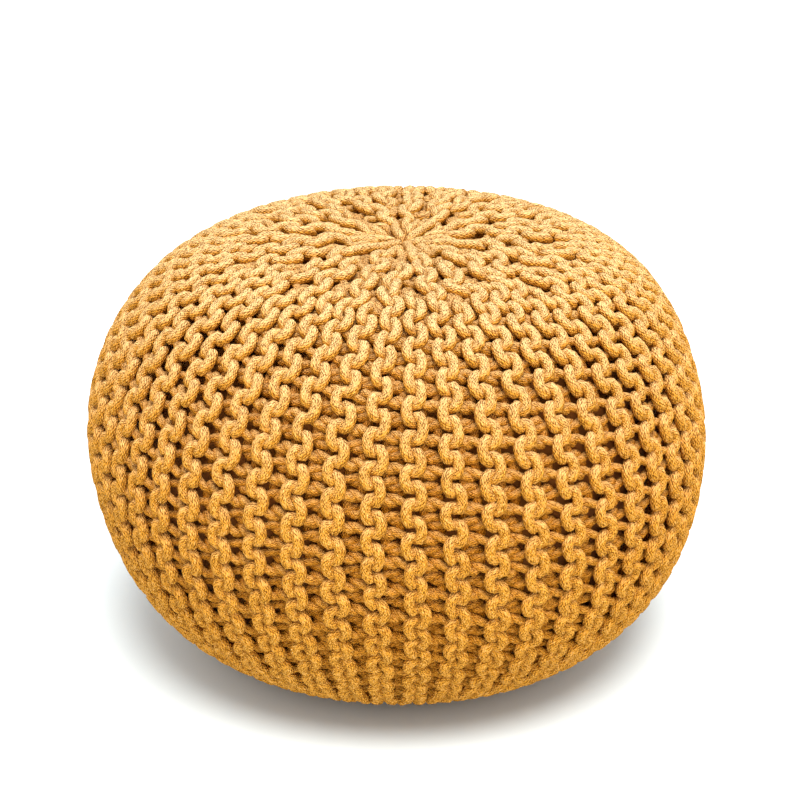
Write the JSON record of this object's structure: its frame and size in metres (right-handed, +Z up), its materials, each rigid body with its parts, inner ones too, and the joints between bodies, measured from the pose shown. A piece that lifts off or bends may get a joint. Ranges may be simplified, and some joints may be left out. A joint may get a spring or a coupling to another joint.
{
  "type": "knitted pouf",
  "caption": "Round floor pouf: a garter-knitted cotton cord cover, gathered at crown and base, over a filled bag.",
  "frame": {"origin": "on the floor plane, under the middle of the pouf's box", "axes": "+Z up, from the flat base to the gathered crown; the knitted ridges run from pole to pole, and the crown leans a little to +X"},
  "size_m": [0.52, 0.52, 0.3611],
  "materials": {
    "cotton_cord": "mustard cotton cord, matt, knitted",
    "cotton_bag_cloth": "plain woven cotton, matt, darker mustard"
  },
  "bodies": {
    "root": {"knitted_cover": "cotton_cord", "filled_inner_bag": "cotton_bag_cloth"}
  },
  "joints": []
}
